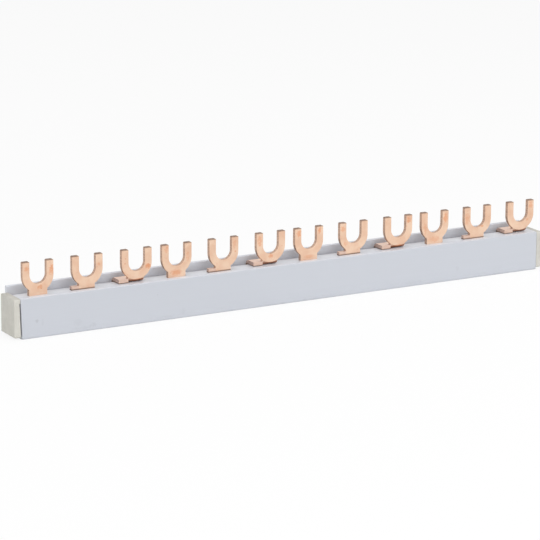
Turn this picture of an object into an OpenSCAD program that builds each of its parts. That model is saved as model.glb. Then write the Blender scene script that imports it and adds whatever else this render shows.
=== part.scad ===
// Three-phase comb busbar: three stamped copper combs nested in one extruded housing.
// Every third fork belongs to the same comb. The forks of all three combs stand in one
// plane, so the tangs of the middle and the back comb are bent forward to reach it.
// X runs along the bar, +Y to the back, +Z up. The origin is under the middle of the base.

/* [Row of forks] */
// Distance from one fork to the next
pitch = 17.8; // [16:0.1:27]
// Number of forks on each of the three combs
forks_per_comb = 4; // [2:1:5]
// From the left end of the housing to the middle of the first fork
first_fork = 7.8; // [7:0.1:12]
// From the middle of the last fork to the right end of the housing
last_fork = 5.8; // [5.6:0.1:12]
// How far the forks of the middle comb sit to the right of an even spacing
middle_shift = 0.9; // [0:0.1:1.5]
// How far the forks of the back comb sit to the right of an even spacing
back_shift = 2.1; // [0:0.1:2.6]

/* [Forks] */
// Thickness of the copper sheet
copper_t = 1.5; // [1.2:0.1:1.9]
// Width over both prongs of a fork
fork_w = 11.6; // [10.6:0.1:12.4]
// Width of the slot that takes the terminal screw
slot_w = 6.4; // [5.2:0.1:7]
// Depth of the slot, from the tips to its round bottom
slot_depth = 8; // [7:0.1:8.6]
// Height of the fork tips above the top of the housing
fork_rise = 12; // [11.4:0.1:15]
// Height of the centre of the outer round below the centre of the slot's round
round_drop = 0.4; // [0:0.1:0.8]
// Rounding of the prong tips
tip_r = 0.35; // [0.1:0.05:0.8]
// Width of the straight stem under a front fork
front_stem_w = 6.8; // [5.6:0.1:8]
// Stem of a bent tang, left of the middle of its fork
stem_left = 3.3; // [2.6:0.1:3.8]
// Stem of a bent tang, right of the middle of its fork
stem_right = 2.75; // [2.4:0.05:3.8]

/* [Tangs] */
// Wide foot of a middle tang, left of the middle of its fork
middle_foot = 6.1; // [5:0.1:7]
// Height of the middle foot above the top of the housing
middle_foot_rise = 1.3; // [0.6:0.1:1.7]
// Wide run of a back tang, left of the middle of its fork
back_foot = 7; // [5:0.1:8]
// Inner radius of the bends, where the space between two bars allows it
bend_r = 0.3; // [0.2:0.05:0.6]

/* [Bars] */
// Free height between the runs of the middle comb and the strip over them
run_headroom = 0.6; // [0.2:0.1:3]
// From the end of the housing to the end of each bar
bar_inset = 1.5; // [1.3:0.1:3]

/* [Housing] */
// Height of the housing up to the strip that the forks stand out of
housing_h = 14.4; // [14:0.1:18]
// Thickness of the front wall
front_wall = 1.4; // [0.9:0.1:2]
// Depth of the lip and of the rail that hold the stack of bars off the front wall
rail_d = 1; // [0.6:0.1:2]
// Height of that rail above the floor
rail_h = 2; // [1:0.1:4]
// Thickness of the lip along the front edge
lip_t = 1.2; // [0.8:0.1:1.6]
// Thickness of the floor
floor_t = 1.2; // [0.8:0.1:1.6]
// Thickness of the inner wall behind the bars
inner_wall = 1; // [0.7:0.1:1.6]
// Height of the inner wall below the top strip
inner_wall_drop = 1.5; // [1.2:0.1:3]
// Width of the open groove behind the inner wall
groove_w = 2.1; // [1.6:0.1:4]
// Thickness of the tall back wall
shield_t = 1.2; // [0.8:0.1:2]
// Height of the tall back wall above the top strip
shield_rise = 2.1; // [0.5:0.1:5]
// Rounding of the outer edges
edge_r = 0.4; // [0.1:0.05:0.55]
// How far the left end is cut out of square at the base
end_lean = 0.55; // [0:0.05:0.9]

/* [Separators] */
// Thickness of the insulating webs between the bars
separator_t = 0.4; // [0.3:0.05:0.8]
// Thickness of the top strip of the rear separator
cover_t = 1; // [0.8:0.1:1.4]
// Clearance between the pieces of the stack
clearance = 0.1; // [0.05:0.01:0.15]

/* [End caps] */
// Thickness of the cap plate
cap_t = 2.3; // [1.6:0.1:4]
// Height of the lower edge of the cap above the base
cap_lift = 0.7; // [0:0.1:1]
// From the back edge of the cap to the tall back wall
cap_back_gap = 0.5; // [0.1:0.1:1]
// Height of the rim along the cap's top edge that meets the end of the housing
cap_rim_h = 1.6; // [1:0.1:3]
// How far the left cap stands off the housing below its rim
left_cap_gap = 0.55; // [0.1:0.05:0.8]
// How far the right cap stands off the housing below its rim
right_cap_gap = 0.1; // [0.1:0.05:0.8]
// How far the tongue of the cap reaches into the rear groove
tongue_l = 6; // [3:0.1:12]
// How far the cap's boss reaches in front of the bars
boss_l = 1; // [0.5:0.1:1.1]
// Rounding of the cap's outer edges
cap_r = 0.6; // [0.2:0.1:0.8]

/* [Hidden] */
$fn = 64;
eps = 0.01;

fork_count = 3 * forks_per_comb;
shift = [0, middle_shift, back_shift];
length = first_fork + (fork_count - 1) * pitch + back_shift + last_fork;

// Depths, from the front face of the housing
bar_gap = separator_t + 2 * clearance;
fork_y = front_wall + rail_d + clearance;
middle_y = fork_y + copper_t + bar_gap;
back_y = middle_y + copper_t + bar_gap;
front_web_y = fork_y + copper_t + clearance;
rear_web_y = middle_y + copper_t + clearance;
inner_wall_y = back_y + copper_t + clearance;
groove_y = inner_wall_y + inner_wall;
shield_y = groove_y + groove_w;
depth = shield_y + shield_t;

// Heights, from the base
bar_top = housing_h - cover_t - run_headroom - copper_t - separator_t - 2 * clearance;
front_web_top = bar_top + clearance + separator_t;
middle_run_z = front_web_top + clearance;
back_run_z = housing_h + clearance;
tip_z = housing_h + fork_rise;
slot_z = tip_z - slot_depth + slot_w / 2;
round_z = slot_z - round_drop;
inner_wall_top = housing_h - inner_wall_drop;

// Bends: the inner radius never takes more than half of the gap between two bars
bend_in = min(bend_r, bar_gap / 2);
bend_out = bend_in + copper_t;

// Middle of fork number i, counted from the left
function fork_x(i) = -length / 2 + first_fork + i * pitch + shift[i % 3];

copper = "#e3b491";
pvc = "#cdd0d6";
separator_grey = "#d6d7dc";
cap_cream = "#c9c8c2";

// Stands a drawing in depth and height upright and pulls it along the bar, from x0 to x1.
module along_bar(x0, x1) {
    translate([x0, -depth / 2, 0])
        rotate([90, 0, 90])
            linear_extrude(x1 - x0)
                children();
}

// A plain block, given by its lowest and highest corners, with depths from the front face.
module block(low, high) {
    translate(low - [0, depth / 2, 0])
        cube(high - low);
}

// What is cut off a square corner to round it: (y, z) is the corner and (sy, sz) points inward.
module corner(y, z, sy, sz, r) {
    translate([y, z])
        scale([sy, sz])
            difference() {
                translate([-eps, -eps])
                    square(r + eps);
                translate([r, r])
                    circle(r = r);
            }
}

// A strip of the given width and height with both of its top corners rounded.
module round_topped(w, h, r) {
    square([w, h - r]);
    translate([r, 0])
        square([w - 2 * r, h]);
    for (x = [r, w - r])
        translate([x, h - r])
            circle(r = r);
}

// Outline of one fork above its stem: two prongs on a half-round bowl.
module fork_outline() {
    prong_w = (fork_w - slot_w) / 2;
    difference() {
        union() {
            for (x = [-fork_w / 2, slot_w / 2])
                translate([x, round_z])
                    round_topped(prong_w, tip_z - round_z, tip_r);
            intersection() {
                translate([0, round_z])
                    circle(d = fork_w);
                translate([-fork_w / 2, round_z - fork_w / 2])
                    square([fork_w, fork_w / 2]);
            }
            translate([-slot_w / 2 - eps, round_z - eps])
                square([slot_w + 2 * eps, round_drop + eps]);
        }
        translate([0, slot_z])
            circle(d = slot_w);
        translate([-slot_w / 2, slot_z])
            square([slot_w, slot_depth]);
    }
}

// One fork at x on a stem that reaches left and right of it, down to the height z.
module fork(x, left, right, z) {
    translate([x, fork_y + copper_t - depth / 2, 0])
        rotate([90, 0, 0])
            linear_extrude(copper_t) {
                fork_outline();
                difference() {
                    translate([-left, z])
                        square([left + right, round_z - z]);
                    translate([0, slot_z])
                        circle(d = slot_w);
                }
            }
}

// Quarter of a bend round (y, z), in the quadrant that (sy, sz) points to.
module bend(y, z, sy, sz) {
    translate([y, z])
        scale([sy, sz])
            intersection() {
                difference() {
                    circle(r = bend_out);
                    circle(r = bend_in);
                }
                square(bend_out);
            }
}

// Side view of the leg of a bent tang: up from its bar at y, over the run and on to the run's front.
module leg_profile(y, run_z) {
    back = y + copper_t;
    translate([y, bar_top - eps])
        square([copper_t, run_z + copper_t - bend_out - bar_top + eps]);
    bend(back - bend_out, run_z + copper_t - bend_out, 1, 1);
}

// Side view of a run from y_front to the leg at y.
module run_profile(y_front, y, run_z) {
    translate([y_front, run_z])
        square([y + copper_t - bend_out - y_front + eps, copper_t]);
}

// Side view of the bend from the run up into the plane of the forks.
module rise_profile(run_z, top) {
    bend(fork_y + bend_out, run_z + bend_out, -1, -1);
    translate([fork_y, run_z + bend_out - eps])
        square([copper_t, top - run_z - bend_out + eps]);
}

// The bar of a comb, a strip on edge that stands on the floor of the housing.
module bar(y) {
    block([-length / 2 + bar_inset, y, floor_t], [length / 2 - bar_inset, y + copper_t, bar_top]);
}

// Front comb: its forks rise straight from the bar.
module comb_front() {
    color(copper) {
        bar(fork_y);
        for (i = [0 : 3 : fork_count - 1])
            fork(fork_x(i), front_stem_w / 2, front_stem_w / 2, bar_top - eps);
    }
}

// Middle comb: the jog lies under the top strip, and a wide foot comes out of it.
module comb_middle() {
    color(copper) {
        bar(middle_y);
        for (i = [1 : 3 : fork_count - 1]) {
            x = fork_x(i);
            along_bar(x - middle_foot, x + stem_right) {
                leg_profile(middle_y, middle_run_z);
                run_profile(fork_y + bend_out - eps, middle_y, middle_run_z);
                rise_profile(middle_run_z, housing_h + middle_foot_rise);
            }
            fork(x, stem_left, stem_right, housing_h);
        }
    }
}

// Back comb: the wide run lies on the top strip, and the fork rises from its right part only.
module comb_back() {
    color(copper) {
        bar(back_y);
        for (i = [2 : 3 : fork_count - 1]) {
            x = fork_x(i);
            along_bar(x - back_foot, x + stem_right)
                leg_profile(back_y, back_run_z);
            along_bar(x - back_foot, x - stem_left)
                run_profile(fork_y, back_y, back_run_z);
            along_bar(x - stem_left, x + stem_right) {
                run_profile(fork_y + bend_out - eps, back_y, back_run_z);
                rise_profile(back_run_z, back_run_z + bend_out + eps);
            }
            fork(x, stem_left, stem_right, back_run_z + bend_out);
        }
    }
}

// Housing: one extruded length with a front wall, a floor, an inner wall and a tall back wall.
module housing() {
    color(pvc)
        difference() {
            along_bar(-length / 2, length / 2)
                difference() {
                    union() {
                        square([depth, floor_t]);
                        square([front_wall, housing_h]);
                        square([front_wall + rail_d, floor_t + rail_h]);
                        translate([0, housing_h - lip_t])
                            square([front_wall + rail_d, lip_t]);
                        translate([inner_wall_y, 0])
                            square([inner_wall, inner_wall_top]);
                        translate([shield_y, 0])
                            square([shield_t, housing_h + shield_rise]);
                    }
                    corner(0, 0, 1, 1, edge_r);
                    corner(depth, 0, -1, 1, edge_r);
                    corner(0, housing_h, 1, -1, edge_r);
                    corner(depth, housing_h + shield_rise, -1, -1, min(edge_r, shield_t / 2));
                    corner(shield_y, housing_h + shield_rise, 1, -1, min(edge_r, shield_t / 2));
                }
            translate([-length / 2, depth / 2 + eps, 0])
                rotate([90, 0, 0])
                    linear_extrude(depth + 2 * eps)
                        polygon([[-eps, -eps], [end_lean, -eps], [0, housing_h], [-eps, housing_h]]);
        }
}

// What is punched out of a separator's top strip for the tang of fork number i.
module tang_notch(i, left, right, z) {
    x = fork_x(i);
    block([x - left - clearance, front_wall, z - eps],
          [x + right + clearance, fork_y + copper_t + clearance, housing_h + eps]);
}

// Front separator: a web between the front and the middle bar with a strip over the front bar.
module separator_front() {
    inset = bar_inset - clearance;
    color(separator_grey)
        difference() {
            along_bar(-length / 2 + inset, length / 2 - inset) {
                translate([front_web_y, floor_t])
                    square([separator_t, front_web_top - floor_t]);
                translate([front_wall + clearance, front_web_top - separator_t])
                    square([front_web_y + separator_t - front_wall - clearance, separator_t]);
            }
            for (i = [0 : 3 : fork_count - 1])
                tang_notch(i, front_stem_w / 2, front_stem_w / 2, front_web_top - separator_t);
        }
}

// Rear separator: a web between the middle and the back bar. Its top strip is the light band
// that reaches forward to the lip, with a notch for each front and middle tang.
module separator_rear() {
    inset = bar_inset - clearance;
    cover_z = housing_h - cover_t;
    color(separator_grey)
        difference() {
            union() {
                along_bar(-length / 2 + inset, length / 2 - inset)
                    translate([rear_web_y, floor_t])
                        square([separator_t, cover_z - floor_t + eps]);
                along_bar(-length / 2, length / 2)
                    translate([front_wall + rail_d + clearance / 2, cover_z])
                        square([rear_web_y + separator_t - fork_y + clearance / 2, cover_t]);
            }
            for (i = [0 : 3 : fork_count - 1])
                tang_notch(i, front_stem_w / 2, front_stem_w / 2, cover_z);
            for (i = [1 : 3 : fork_count - 1])
                tang_notch(i, middle_foot, stem_right, cover_z);
        }
}

// Side view of a cap: a plate that follows the leaning end of the housing at the given gap,
// and a rim along its top edge that meets the housing. It is drawn for the left end.
module cap_plate_profile(x_out, x_rim, gap, lean) {
    rim_z = housing_h - cap_rim_h;
    x_base = -length / 2 + lean * (1 - cap_lift / housing_h) - gap;
    x_under_rim = -length / 2 + lean * (1 - rim_z / housing_h) - gap;
    difference() {
        union() {
            polygon([[x_out, cap_lift], [x_base, cap_lift], [x_under_rim, rim_z], [x_out, rim_z]]);
            translate([x_out, rim_z - eps])
                square([x_rim - x_out, cap_rim_h + eps]);
        }
        corner(x_out, cap_lift, 1, 1, cap_r);
        corner(x_out, housing_h, 1, -1, cap_r);
    }
}

// End cap: the plate, a shallow boss over the bars and a tongue in the rear groove.
// It is drawn for the left end.
module end_cap(gap, lean) {
    x_rim = -length / 2 - clearance;
    x_out = x_rim - cap_t;
    cap_d = shield_y - cap_back_gap;
    color(cap_cream) {
        intersection() {
            along_bar(x_out, x_rim + lean)
                difference() {
                    translate([0, cap_lift])
                        square([cap_d, housing_h - cap_lift]);
                    for (y = [0, cap_d])
                        for (z = [cap_lift, housing_h])
                            corner(y, z, y == 0 ? 1 : -1, z == cap_lift ? 1 : -1, cap_r);
                }
            translate([0, cap_d - depth / 2 + eps, 0])
                rotate([90, 0, 0])
                    linear_extrude(cap_d + 2 * eps)
                        cap_plate_profile(x_out, x_rim, gap, lean);
        }
        block([x_out + cap_t / 2, fork_y, floor_t + clearance],
              [-length / 2 + boss_l, inner_wall_y - clearance, housing_h - cover_t - clearance]);
        block([x_out + cap_t / 2, groove_y + clearance, floor_t + clearance],
              [-length / 2 + tongue_l, cap_d, inner_wall_top - clearance]);
    }
}

module end_cap_left() {
    end_cap(left_cap_gap, end_lean);
}

module end_cap_right() {
    mirror([1, 0, 0])
        end_cap(right_cap_gap, 0);
}

housing();
comb_front();
separator_front();
comb_middle();
separator_rear();
comb_back();
end_cap_left();
end_cap_right();
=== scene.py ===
import math

import bpy
from mathutils import Matrix, Vector


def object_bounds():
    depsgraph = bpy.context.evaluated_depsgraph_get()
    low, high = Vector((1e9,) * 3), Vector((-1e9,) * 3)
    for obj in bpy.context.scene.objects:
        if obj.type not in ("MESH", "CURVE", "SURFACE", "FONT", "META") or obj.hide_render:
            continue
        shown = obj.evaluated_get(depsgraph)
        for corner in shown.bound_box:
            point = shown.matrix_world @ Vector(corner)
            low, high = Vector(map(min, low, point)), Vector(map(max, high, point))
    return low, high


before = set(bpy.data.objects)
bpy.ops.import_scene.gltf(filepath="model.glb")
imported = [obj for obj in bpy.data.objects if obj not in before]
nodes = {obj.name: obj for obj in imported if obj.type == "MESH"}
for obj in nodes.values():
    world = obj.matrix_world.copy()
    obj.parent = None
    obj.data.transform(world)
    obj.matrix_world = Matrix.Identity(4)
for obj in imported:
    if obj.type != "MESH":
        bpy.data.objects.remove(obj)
cad_low, cad_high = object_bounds()

# The view: the busbar stands on a table and is seen from its front left, a little from above,
# through a long lens, so that the row of forks climbs gently from left to right.
MM = 0.001
view_turn = math.radians(29.483)
view_tilt = math.radians(14.112)
view_roll = math.radians(0.379)
view_distance = 1.0629
view_lens = 197.8
view_shift = 0.0038
aim_offset = Vector((-4.7, 2.0, -2.3)) * MM

forward = Vector((
    math.sin(view_turn) * math.cos(view_tilt),
    math.cos(view_turn) * math.cos(view_tilt),
    -math.sin(view_tilt),
))
level_right = Vector((math.cos(view_turn), -math.sin(view_turn), 0))
level_up = level_right.cross(forward)
camera_right = math.cos(view_roll) * level_right + math.sin(view_roll) * level_up
camera_up = camera_right.cross(forward)
aim = (cad_low + cad_high) / 2 + aim_offset

camera = bpy.data.objects.new("camera", bpy.data.cameras.new("camera"))
bpy.context.collection.objects.link(camera)
axes = Matrix((camera_right, camera_up, -forward)).transposed()
camera.matrix_world = Matrix.Translation(aim - forward * view_distance) @ axes.to_4x4()
camera.data.lens = view_lens
camera.data.shift_x = view_shift
camera.data.clip_end = 20
bpy.context.scene.camera = camera


# The surroundings: a white table in a white room. Both are plain white to the eye, to glossy
# metal and through clear things, and the table keeps a faint shadow under the busbar.
room_light = 0.56
table_shadow = 0.16
table_reach = 3.0
table_drop = 0.02 * MM
table_white = (0.9, 0.9, 0.9, 1)
white = (1, 1, 1, 1)


def place(tree, kind, inputs=None, **settings):
    """Adds a node, applies its settings, and sets or links its inputs."""
    made = tree.nodes.new(kind)
    for name, value in settings.items():
        setattr(made, name, value)
    for key, value in (inputs or {}).items():
        if isinstance(value, bpy.types.NodeSocket):
            tree.links.new(value, made.inputs[key])
        else:
            made.inputs[key].default_value = value
    return made


def seen_directly(tree):
    """1 for what the camera sees by itself, in a reflection or through glass, otherwise 0."""
    path = place(tree, "ShaderNodeLightPath")
    shiny = place(tree, "ShaderNodeMath", {0: path.outputs["Is Camera Ray"],
                                           1: path.outputs["Is Glossy Ray"]}, operation="MAXIMUM")
    clear = place(tree, "ShaderNodeMath", {0: shiny.outputs[0],
                                           1: path.outputs["Is Transmission Ray"]}, operation="MAXIMUM")
    return clear.outputs[0]


world = bpy.data.worlds.new("white_room")
world.use_nodes = True
bpy.context.scene.world = world
room = world.node_tree
room.nodes.clear()
room_level = place(room, "ShaderNodeMapRange", {
    "Value": seen_directly(room), "To Min": room_light, "To Max": 1.0})
room_glow = place(room, "ShaderNodeBackground", {"Color": white, "Strength": room_level.outputs["Result"]})
place(room, "ShaderNodeOutputWorld", {"Surface": room_glow.outputs[0]})

table_finish = bpy.data.materials.new("table_white")
table_finish.use_nodes = True
table_tree = table_finish.node_tree
table_tree.nodes.clear()
table_share = place(table_tree, "ShaderNodeMath", {0: seen_directly(table_tree), 1: 1 - table_shadow},
                    operation="MULTIPLY")
table_matt = place(table_tree, "ShaderNodeBsdfDiffuse", {"Color": table_white})
table_glow = place(table_tree, "ShaderNodeEmission", {"Color": white, "Strength": 1.0})
table_mix = place(table_tree, "ShaderNodeMixShader", {0: table_share.outputs[0], 1: table_matt.outputs[0],
                                                      2: table_glow.outputs[0]})
place(table_tree, "ShaderNodeOutputMaterial", {"Surface": table_mix.outputs[0]})

table_mesh = bpy.data.meshes.new("table")
corners = [(x * table_reach, y * table_reach, 0) for x, y in ((-1, -1), (1, -1), (1, 1), (-1, 1))]
table_mesh.from_pydata(corners, [], [(0, 1, 2, 3)])
table = bpy.data.objects.new("table", table_mesh)
table.location = (0, 0, cad_low.z - table_drop)
table.data.materials.append(table_finish)
bpy.context.collection.objects.link(table)

# The lamps: large soft boxes round the table, the strongest in front and to the left of the busbar.
lamp_aim = Vector((0, 0, 0.01))
for name, where, side, power in (
    ("lamp_right", (0.5, -0.5, 0.45), 0.45, 1.7),
    ("lamp_left", (-1.2, -0.5, 0.8), 0.8, 5.6),
    ("lamp_above", (0.0, 0.1, 1.3), 1.0, 2.6),
    ("lamp_front", (-0.2, -1.4, 0.55), 1.0, 7.0),
):
    lamp = bpy.data.objects.new(name, bpy.data.lights.new(name, "AREA"))
    lamp.data.shape = "SQUARE"
    lamp.data.size = side
    lamp.data.energy = power
    lamp.location = where
    lamp.rotation_euler = (lamp_aim - Vector(where)).to_track_quat("-Z", "Y").to_euler()
    bpy.context.collection.objects.link(lamp)


# The housing: one length of light grey hard plastic, pushed hot through a die, so that its faces
# carry faint lines along their length. It is sawn off at both ends, scuffed here and there on its front, and
# darker in blotches towards its foot.
housing_colour = (0.640, 0.664, 0.718, 1)
housing_shade_colour = (0.612, 0.636, 0.690, 1)
# Painted shade: a darker copy of the grey for the outer faces.
housing_painted_shade_colour = (0.502, 0.522, 0.566, 1)
housing_mark_colour = (0.34, 0.35, 0.38, 1)
housing_edge = 0.12 * MM
plastic_gloss = 0.45
same_point = 0.002 * MM
sharp_corner = math.radians(40)


def open_group(name, inputs, outputs):
    """Starts a shader node group with float inputs {name: default} and outputs {name: socket type}."""
    group = bpy.data.node_groups.new(name, "ShaderNodeTree")
    for label, value in inputs.items():
        socket = group.interface.new_socket(name=label, in_out="INPUT", socket_type="NodeSocketFloat")
        socket.default_value = value
    for label, kind in outputs.items():
        group.interface.new_socket(name=label, in_out="OUTPUT", socket_type=kind)
    return group, group.nodes.new("NodeGroupInput"), group.nodes.new("NodeGroupOutput")


def close_group(group, exits, results):
    """Links the results to the group's outputs by name."""
    for label, socket in results.items():
        group.links.new(socket, exits.inputs[label])


def in_millimetres(tree):
    """The point on the surface, in millimetres in the frame of the busbar."""
    where = place(tree, "ShaderNodeTexCoord")
    return place(tree, "ShaderNodeVectorMath", {0: where.outputs["Object"], "Scale": 1 / MM},
                 operation="SCALE").outputs[0]


def component(tree, vector, axis):
    """The X, Y or Z of a vector."""
    return place(tree, "ShaderNodeSeparateXYZ", {0: vector}).outputs[axis]


def math_node(tree, operation, first, second=0.0):
    """One step of arithmetic."""
    return place(tree, "ShaderNodeMath", {0: first, 1: second}, operation=operation).outputs[0]


def stretched_noise(tree, point, stretch, detail=3.0, roughness=0.55):
    """Noise with its own number of grains per millimetre along each axis."""
    drawn = place(tree, "ShaderNodeVectorMath", {0: point, 1: stretch}, operation="MULTIPLY").outputs[0]
    return place(tree, "ShaderNodeTexNoise", {"Vector": drawn, "Scale": 1.0, "Detail": detail,
                                              "Roughness": roughness}).outputs["Fac"]


def stepped(tree, value, low, high, to_low=0.0, to_high=1.0):
    """Spreads the stretch of a value between low and high smoothly."""
    return place(tree, "ShaderNodeMapRange", {"Value": value, "From Min": low, "From Max": high,
                                              "To Min": to_low, "To Max": to_high},
                 interpolation_type="SMOOTHSTEP").outputs["Result"]


# The group of all that the die leaves on plastic: draw lines, a slow drift in tone, pin marks.
die_drawn, die_in, die_out = open_group(
    "die_drawn", {"Seed": 0.0},
    {"Lines": "NodeSocketFloat", "Drift": "NodeSocketFloat", "Pins": "NodeSocketFloat"})
die_point = place(die_drawn, "ShaderNodeVectorMath", {
    0: in_millimetres(die_drawn), 1: die_in.outputs["Seed"]}, operation="ADD").outputs[0]
die_fine = stretched_noise(die_drawn, die_point, (0.012, 3.2, 3.2), 4.0)
die_broad = stretched_noise(die_drawn, die_point, (0.006, 0.7, 0.7), 2.0)
die_pins = stretched_noise(die_drawn, die_point, (1.1, 1.3, 1.3), 1.0)
close_group(die_drawn, die_out, {
    "Lines": math_node(die_drawn, "ADD", math_node(die_drawn, "MULTIPLY", die_fine, 0.6),
                       math_node(die_drawn, "MULTIPLY", die_broad, 0.4)),
    "Drift": stretched_noise(die_drawn, die_point, (0.025, 0.09, 0.09), 3.0),
    "Pins": stepped(die_drawn, die_pins, 0.79, 0.86),
})

# The group of one soft round mark at a place along the bar (Along) and above the base (Height).
mark, mark_in, mark_out = open_group(
    "mark", {"Along": 0.0, "Height": 0.0, "Length": 1.0, "Rise": 1.0, "Ragged": 0.5},
    {"Mask": "NodeSocketFloat"})
mark_point = in_millimetres(mark)
mark_x = math_node(mark, "SUBTRACT", component(mark, mark_point, "X"), mark_in.outputs["Along"])
mark_x = math_node(mark, "DIVIDE", mark_x, mark_in.outputs["Length"])
mark_z = math_node(mark, "SUBTRACT", component(mark, mark_point, "Z"), mark_in.outputs["Height"])
mark_z = math_node(mark, "DIVIDE", mark_z, mark_in.outputs["Rise"])
mark_far = math_node(mark, "ADD", math_node(mark, "MULTIPLY", mark_x, mark_x),
                     math_node(mark, "MULTIPLY", mark_z, mark_z))
mark_wander = math_node(mark, "SUBTRACT", stretched_noise(mark, mark_point, (1.4, 1.4, 1.4)), 0.5)
mark_edge = math_node(mark, "MULTIPLY", mark_wander, mark_in.outputs["Ragged"])
mark_reach = math_node(mark, "ADD", mark_far, math_node(mark, "MULTIPLY", mark_edge, 4.0))
close_group(mark, mark_out, {"Mask": stepped(mark, mark_reach, 1.0, 0.0)})


def marks(tree, places):
    """The strongest of several marks, each (along, height, length, rise, ragged, strength)."""
    strongest = None
    for along, height, long, rise, ragged, strength in places:
        spot = place(tree, "ShaderNodeGroup", {}, node_tree=mark)
        for label, value in (("Along", along), ("Height", height), ("Length", long),
                             ("Rise", rise), ("Ragged", ragged)):
            spot.inputs[label].default_value = value
        shown = math_node(tree, "MULTIPLY", spot.outputs["Mask"], strength)
        strongest = shown if strongest is None else math_node(tree, "MAXIMUM", strongest, shown)
    return strongest


def new_finish(name):
    """A material without any nodes; returns it and its node tree."""
    finish = bpy.data.materials.new(name)
    finish.use_nodes = True
    finish.node_tree.nodes.clear()
    return finish, finish.node_tree


def blended(tree, amount, first, second):
    """A colour between two colours."""
    mix = place(tree, "ShaderNodeMix", {0: amount, 6: first, 7: second}, data_type="RGBA")
    return mix.outputs[2]


def plastic(tree, colour, roughness, relief, depth, strength, gloss):
    """The skin of a plastic piece: relief is carved to depth, and gloss is its shine face on."""
    bump = place(tree, "ShaderNodeBump", {"Height": relief, "Strength": strength, "Distance": depth})
    surface = place(tree, "ShaderNodeBsdfPrincipled", {
        "Base Color": colour, "Roughness": roughness, "Normal": bump.outputs[0]})
    surface.inputs["Specular IOR Level"].default_value = gloss
    place(tree, "ShaderNodeOutputMaterial", {"Surface": surface.outputs[0]})


def dress(node, finish, edge):
    """Gives a solid its finish and takes the sharpness off its edges."""
    piece = nodes[node]
    for slot in piece.material_slots:
        slot.material = finish
    weld = piece.modifiers.new("joined_faces", "WELD")
    weld.merge_threshold = same_point
    soften = piece.modifiers.new("soft_edges", "BEVEL")
    soften.width = edge
    soften.segments = 2
    soften.limit_method = "ANGLE"
    soften.angle_limit = sharp_corner
    soften.harden_normals = True


housing_finish, tree = new_finish("housing_grey_plastic")
drawn = place(tree, "ShaderNodeGroup", {"Seed": 3.0}, node_tree=die_drawn)
point = in_millimetres(tree)
facing = place(tree, "ShaderNodeNewGeometry").outputs["Normal"]
sawn = stepped(tree, math_node(tree, "ABSOLUTE", component(tree, facing, "X")), 0.8, 0.95)
front = stepped(tree, component(tree, facing, "Y"), -0.6, -0.9)
# Each scuff is (along, height, length, rise, ragged, strength).
scuffs = marks(tree, (
    (-99.7, 6.0, 0.75, 0.8, 0.5, 0.42),
    (-97.6, 5.2, 0.5, 1.6, 0.6, 0.14),
    (-84.2, 3.4, 2.2, 1.6, 0.8, 0.12),
    (-78.6, 1.8, 1.5, 1.2, 0.9, 0.22),
    (-81.5, 1.4, 5.0, 0.7, 0.9, 0.16),
    (-43.4, 2.4, 1.4, 1.3, 0.9, 0.14),
    (-51.0, 1.2, 4.0, 0.6, 0.9, 0.12),
    (6.0, 0.5, 1.3, 0.5, 0.5, 0.30),
    (14.0, 1.0, 6.0, 0.5, 0.9, 0.12),
    (52.0, 1.3, 5.0, 0.7, 0.9, 0.12),
    (70.7, 4.3, 1.0, 1.0, 0.7, 0.14),
))
scuffs = math_node(tree, "MULTIPLY", scuffs, front)
# Darker in blotches towards the bottom, over the lowest millimetre.
low_down = stepped(tree, component(tree, point, "Z"), 1.0, 0.1)
bottom_blotches = stepped(tree, stretched_noise(tree, point, (0.35, 1.0, 1.6), 4.0), 0.42, 0.75, 0.15, 0.5)
foot = math_node(tree, "MULTIPLY", low_down, bottom_blotches)
scuffs_and_dark_bottom = math_node(tree, "MAXIMUM", scuffs, foot)
pinned = math_node(tree, "MULTIPLY", drawn.outputs["Pins"], 0.22)
tone = blended(tree, stepped(tree, drawn.outputs["Drift"], 0.3, 0.7), housing_shade_colour, housing_colour)
# Painted shade: the outer front and back faces are painted darker than the inner faces. The rounded corners
# fall partly outside this and stay lighter.
outer_face = cad_high.y / MM
outer_face_shade = stepped(tree, math_node(tree, "ABSOLUTE", component(tree, point, "Y")),
                    outer_face - 0.35, outer_face - 0.02)
tone = blended(tree, outer_face_shade, tone, housing_painted_shade_colour)
line_depth = stepped(tree, drawn.outputs["Lines"], 0.35, 0.65, 0.0, 0.035)
lined = blended(tree, line_depth, tone, housing_mark_colour)
marked = blended(tree, math_node(tree, "MAXIMUM", scuffs_and_dark_bottom, pinned), lined, housing_mark_colour)
saw_lines = stretched_noise(tree, point, (1.0, 0.4, 5.5), 4.0)
sawn_relief = math_node(tree, "MULTIPLY", math_node(tree, "MULTIPLY", saw_lines, sawn), 2.5)
relief = math_node(tree, "ADD", drawn.outputs["Lines"], sawn_relief)
rough = math_node(tree, "ADD", stepped(tree, drawn.outputs["Lines"], 0.3, 0.7, 0.37, 0.42),
                  math_node(tree, "MULTIPLY", scuffs_and_dark_bottom, 0.3))
plastic(tree, marked, rough, relief, 0.06 * MM, 0.08, plastic_gloss)
dress("housing", housing_finish, housing_edge)


# The separators: thin strips of the same grey plastic, a shade lighter. The rear one shows as the
# light band that the forks stand out of, with a little dust of the punch on it.
separator_colour = (0.690, 0.708, 0.750, 1)
separator_shade_colour = (0.640, 0.655, 0.700, 1)
separator_mark_colour = (0.42, 0.40, 0.40, 1)
separator_edge = 0.06 * MM

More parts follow.
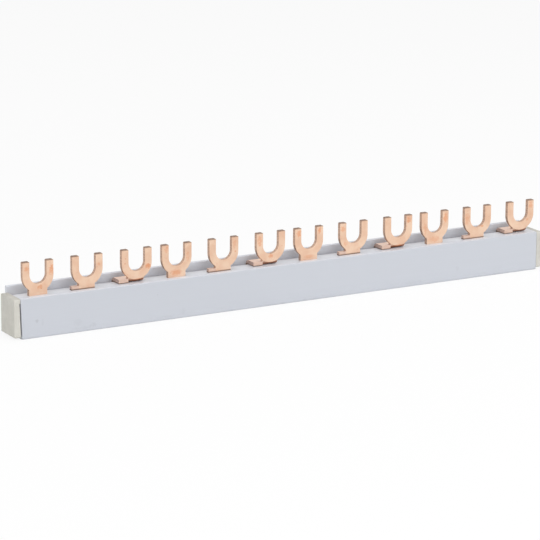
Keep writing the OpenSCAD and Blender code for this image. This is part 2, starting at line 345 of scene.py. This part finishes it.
separator_finish, tree = new_finish("separator_light_plastic")
drawn = place(tree, "ShaderNodeGroup", {"Seed": 11.0}, node_tree=die_drawn)
point = in_millimetres(tree)
punch_dust = stepped(tree, stretched_noise(tree, point, (0.8, 1.2, 1.2), 4.0), 0.58, 0.75, 0.0, 0.3)
pinned = math_node(tree, "MULTIPLY", drawn.outputs["Pins"], 0.25)
drift = stepped(tree, drawn.outputs["Drift"], 0.3, 0.7)
tone = blended(tree, drift, separator_shade_colour, separator_colour)
marked = blended(tree, math_node(tree, "MAXIMUM", punch_dust, pinned), tone, separator_mark_colour)
rough = stepped(tree, drawn.outputs["Lines"], 0.3, 0.7, 0.3, 0.42)
plastic(tree, marked, rough, drawn.outputs["Lines"], 0.06 * MM, 0.2, plastic_gloss)
for name in ("separator_front", "separator_rear"):
    dress(name, separator_finish, separator_edge)


# The combs: bare copper sheet, stamped and bent in a press. The faces keep the fine grain of the
# rolling mill and warm patches of tarnish, with painted shade and painted copper reflection under the
# bends; the sheared edges are darker, with lines across them.
copper_colour = (0.795, 0.525, 0.375, 1)
copper_pale_colour = (0.825, 0.605, 0.455, 1)
# Tarnish, and also painted shade and copper reflection under the back comb's bends.
copper_tarnish_and_reflection_colour = (0.690, 0.290, 0.140, 1)
# Painted shade for the downward-facing undersides of the bends.
copper_bend_shade_colour = (0.420, 0.140, 0.060, 1)
copper_shear_colour = (0.430, 0.290, 0.225, 1)
copper_rubbed_colour = (0.660, 0.500, 0.445, 1)
# Dark grime, also used as painted shade where the tangs meet the top strip.
copper_grime_and_shade_colour = (0.190, 0.120, 0.090, 1)
comb_edge = 0.13 * MM

# Places on the combs, in millimetres: the repeat of each comb, the heights of the top strip, of the
# tops of the bends, of the lowest sheared slot ends and of the tips, and where a tang's foot begins
# and ends left of the middle of its fork.
comb_repeat = 53.4
strip_top = 14.4
bend_below = 16.3
slot_floor = 17.0
fork_tip = cad_high.z / MM
foot_from = 7.4
foot_to = 3.1

# The group that tells a sheared edge, a prong tip or the underside of a bend from a rolled face; the
# underside gets painted shade.
sheared, sheared_in, sheared_out = open_group(
    "sheared", {"Ends above": slot_floor},
    {"Edge": "NodeSocketFloat", "Tip": "NodeSocketFloat", "Bend shade": "NodeSocketFloat"})
sheared_height = component(sheared, in_millimetres(sheared), "Z")
sheared_facing = place(sheared, "ShaderNodeNewGeometry").outputs["True Normal"]
sheared_side = math_node(sheared, "ABSOLUTE", component(sheared, sheared_facing, "X"))
sheared_front = math_node(sheared, "ABSOLUTE", component(sheared, sheared_facing, "Y"))
side_on = stepped(sheared, sheared_side, 0.35, 0.55)
off_plane = stepped(sheared, sheared_front, 0.75, 0.5)
raised = stepped(sheared, sheared_height,
                 math_node(sheared, "SUBTRACT", sheared_in.outputs["Ends above"], 0.1),
                 sheared_in.outputs["Ends above"])
downward = stepped(sheared, component(sheared, sheared_facing, "Z"), -0.25, -0.55)
at_bend = stepped(sheared, sheared_height, bend_below, bend_below - 0.3)
close_group(sheared, sheared_out, {
    "Edge": math_node(sheared, "MAXIMUM", side_on, math_node(sheared, "MULTIPLY", off_plane, raised)),
    "Tip": stepped(sheared, sheared_height, fork_tip - 0.45, fork_tip - 0.12),
    "Bend shade": math_node(sheared, "MULTIPLY", downward, at_bend),
})


def foot_mask(tree, point, first_fork, foot_top):
    """The foot of each tang, left of its stem and up to foot_top, where the press has rubbed it dull."""
    past_foot = math_node(tree, "ADD", component(tree, point, "X"), comb_repeat - first_fork + foot_from)
    along = math_node(tree, "MODULO", past_foot, comb_repeat)
    foot_length = foot_from - foot_to
    left = math_node(tree, "MULTIPLY", stepped(tree, along, 0.0, 0.2),
                     stepped(tree, along, foot_length, foot_length - 0.3))
    low = stepped(tree, component(tree, point, "Z"), foot_top + 0.2, foot_top)
    return math_node(tree, "MULTIPLY", left, low)


def rubbed_foot_and_contact_shade(tree, colour, point, across, first_fork, foot_top):
    """Dulls the feet of the tangs, and paints shade along the line where they lie on the top strip."""
    rubbed = math_node(tree, "MULTIPLY", foot_mask(tree, point, first_fork, foot_top),
                       stepped(tree, across, 0.35, 0.65, 0.35, 0.75))
    # Painted shade: a dark line on the copper just above the top strip, where the tangs meet it.
    contact_shade = stepped(tree, component(tree, point, "Z"), strip_top + 0.55, strip_top + 0.2, 0.0, 0.8)
    dulled = blended(tree, rubbed, colour, copper_rubbed_colour)
    return blended(tree, contact_shade, dulled, copper_grime_and_shade_colour)


def copper_finish(name, ends_above, seed, patches, foot=None):
    """Copper for one comb: upward faces over ends_above are sheared; foot is (first fork, foot top)."""
    finish, tree = new_finish(name)
    point = in_millimetres(tree)
    moved = place(tree, "ShaderNodeVectorMath", {0: point, 1: (seed, seed, seed)}, operation="ADD").outputs[0]
    cut = place(tree, "ShaderNodeGroup", {"Ends above": ends_above}, node_tree=sheared)
    rolled = stretched_noise(tree, moved, (0.35, 6.0, 6.0), 4.0)
    cloudy = stretched_noise(tree, moved, (0.22, 0.22, 0.22), 4.0, 0.6)
    mottle = stretched_noise(tree, moved, (0.9, 0.9, 0.9), 3.0, 0.6)
    across = stretched_noise(tree, moved, (4.0, 0.5, 4.0), 4.0)
    specks = stepped(tree, stretched_noise(tree, moved, (2.2, 2.2, 2.2), 1.0), 0.74, 0.82, 0.0, 0.5)
    # Tarnish, and in the back comb also painted shade and copper reflection under the bends.
    tarnish_and_bend_reflection = math_node(tree, "MAXIMUM", stepped(tree, mottle, 0.60, 0.80, 0.0, 0.32), marks(tree, patches))
    shear = math_node(tree, "MULTIPLY", cut.outputs["Edge"], stepped(tree, across, 0.35, 0.65, 0.40, 1.0))
    # Painted shade on the undersides of the bends.
    bend_shade = math_node(tree, "MULTIPLY", cut.outputs["Bend shade"], stepped(tree, cloudy, 0.3, 0.7, 0.6, 0.95))
    tips = math_node(tree, "MULTIPLY", cut.outputs["Tip"], stepped(tree, mottle, 0.3, 0.7, 0.6, 0.9))

    colour = blended(tree, stepped(tree, cloudy, 0.35, 0.65), copper_colour, copper_pale_colour)
    colour = blended(tree, tarnish_and_bend_reflection, colour, copper_tarnish_and_reflection_colour)
    colour = blended(tree, specks, colour, copper_grime_and_shade_colour)
    colour = blended(tree, shear, colour, copper_shear_colour)
    colour = blended(tree, bend_shade, colour, copper_bend_shade_colour)
    if foot:
        colour = rubbed_foot_and_contact_shade(tree, colour, point, across, *foot)
    colour = blended(tree, tips, colour, copper_grime_and_shade_colour)

    shear_lines = math_node(tree, "MULTIPLY", math_node(tree, "MULTIPLY", across, cut.outputs["Edge"]), 1.6)
    relief = math_node(tree, "ADD", math_node(tree, "MULTIPLY", rolled, 0.35), shear_lines)
    bump = place(tree, "ShaderNodeBump", {"Height": relief, "Strength": 0.3, "Distance": 0.08 * MM})
    rough = stepped(tree, cloudy, 0.3, 0.7, 0.34, 0.46)
    rough = math_node(tree, "ADD", rough, math_node(tree, "MULTIPLY", cut.outputs["Edge"], 0.12))
    rough = math_node(tree, "ADD", rough, math_node(tree, "MULTIPLY", tarnish_and_bend_reflection, 0.15))
    surface = place(tree, "ShaderNodeBsdfPrincipled", {
        "Base Color": colour, "Metallic": 1.0, "Roughness": rough, "Normal": bump.outputs[0]})
    place(tree, "ShaderNodeOutputMaterial", {"Surface": surface.outputs[0]})
    return finish


# Patches of tarnish, each (along, height, length, rise, ragged, strength). In the back comb, the wide low
# patches near a height of 15 are painted shade and painted copper reflection under the bends.
front_patches = (
    (-102.3, 24.0, 1.0, 0.9, 0.8, 0.45),
    (-92.9, 23.0, 1.0, 2.6, 0.8, 0.65),
    (-97.2, 17.2, 1.2, 0.9, 0.8, 0.55),
    (-48.8, 24.5, 1.0, 1.6, 0.8, 0.45),
    (-40.3, 21.5, 0.9, 2.2, 0.8, 0.40),
    (-44.8, 16.0, 2.6, 1.3, 0.4, 0.62),
    (4.7, 24.3, 1.1, 1.5, 0.7, 0.60),
    (13.1, 24.8, 0.9, 1.5, 0.7, 0.70),
    (9.0, 15.6, 2.6, 0.9, 0.4, 0.38),
    (66.7, 23.6, 1.2, 2.4, 0.6, 0.60),
    (62.0, 16.0, 3.0, 1.5, 0.4, 0.42),
    (57.9, 20.5, 0.8, 3.0, 0.9, 0.35),
)
middle_patches = (
    (-74.8, 22.6, 0.8, 0.7, 0.7, 0.40),
    (-21.3, 21.0, 0.5, 0.5, 0.5, 0.60),
    (-21.6, 24.0, 0.9, 2.0, 0.9, 0.35),
    (22.9, 24.0, 1.1, 1.4, 0.8, 0.50),
    (24.0, 18.5, 1.2, 1.2, 0.8, 0.40),
    (82.9, 18.6, 0.8, 0.6, 0.5, 0.60),
    (76.3, 22.0, 1.2, 3.0, 0.9, 0.40),
)
back_patches = (
    (-55.9, 19.7, 1.3, 1.1, 0.6, 0.80),
    (-64.8, 21.5, 0.5, 0.4, 0.4, 0.60),
    (-64.6, 23.2, 0.3, 0.3, 0.4, 0.60),
    # Painted shade and copper reflection under the bend.
    (-60.0, 15.2, 3.6, 0.7, 0.3, 0.70),
    (-11.3, 23.5, 1.1, 2.2, 0.8, 0.50),
    (-6.9, 17.6, 1.2, 1.1, 0.7, 0.65),
    (50.9, 24.6, 1.1, 1.9, 0.8, 0.65),
    (50.0, 22.3, 0.3, 0.3, 0.3, 0.60),
    # Painted shade and copper reflection under the bend.
    (46.5, 15.1, 3.6, 0.8, 0.3, 0.90),
    (104.3, 24.5, 1.0, 2.0, 0.8, 0.50),
    (103.0, 19.0, 0.7, 0.7, 0.5, 0.50),
)
front_finish = copper_finish("copper_front", slot_floor, 0.0, front_patches)
middle_finish = copper_finish("copper_middle", 15.2, 40.0, middle_patches, foot=(-79.25, 15.8))
back_finish = copper_finish("copper_back", slot_floor, 80.0, back_patches, foot=(-60.25, 16.1))
dress("comb_front", front_finish, comb_edge)
dress("comb_middle", middle_finish, comb_edge)
dress("comb_back", back_finish, comb_edge)


# The end caps: small mouldings of cream plastic with a fine matt skin, pushed into the housing by
# their tongues. Their rims and corners are slightly rounded and a little soiled.
cap_colour = (0.560, 0.548, 0.500, 1)
cap_shade_colour = (0.510, 0.498, 0.450, 1)
cap_soil_colour = (0.33, 0.31, 0.26, 1)
cap_edge = 0.1 * MM
cap_gloss = 0.4

cap_finish, tree = new_finish("cap_cream_plastic")
point = in_millimetres(tree)
matt_skin = stretched_noise(tree, point, (5.0, 5.0, 5.0), 3.0, 0.6)
cloudy = stretched_noise(tree, point, (0.25, 0.25, 0.25), 3.0)
soil = stepped(tree, stretched_noise(tree, point, (0.7, 0.7, 0.7), 4.0), 0.55, 0.8, 0.0, 0.25)
tone = blended(tree, stepped(tree, cloudy, 0.3, 0.7), cap_shade_colour, cap_colour)
soiled = blended(tree, soil, tone, cap_soil_colour)
rough = stepped(tree, matt_skin, 0.3, 0.7, 0.48, 0.6)
plastic(tree, soiled, rough, matt_skin, 0.05 * MM, 0.18, cap_gloss)
for name in ("end_cap_left", "end_cap_right"):
    dress(name, cap_finish, cap_edge)


# The finished picture keeps plain colours.
bpy.context.scene.view_settings.view_transform = "Standard"
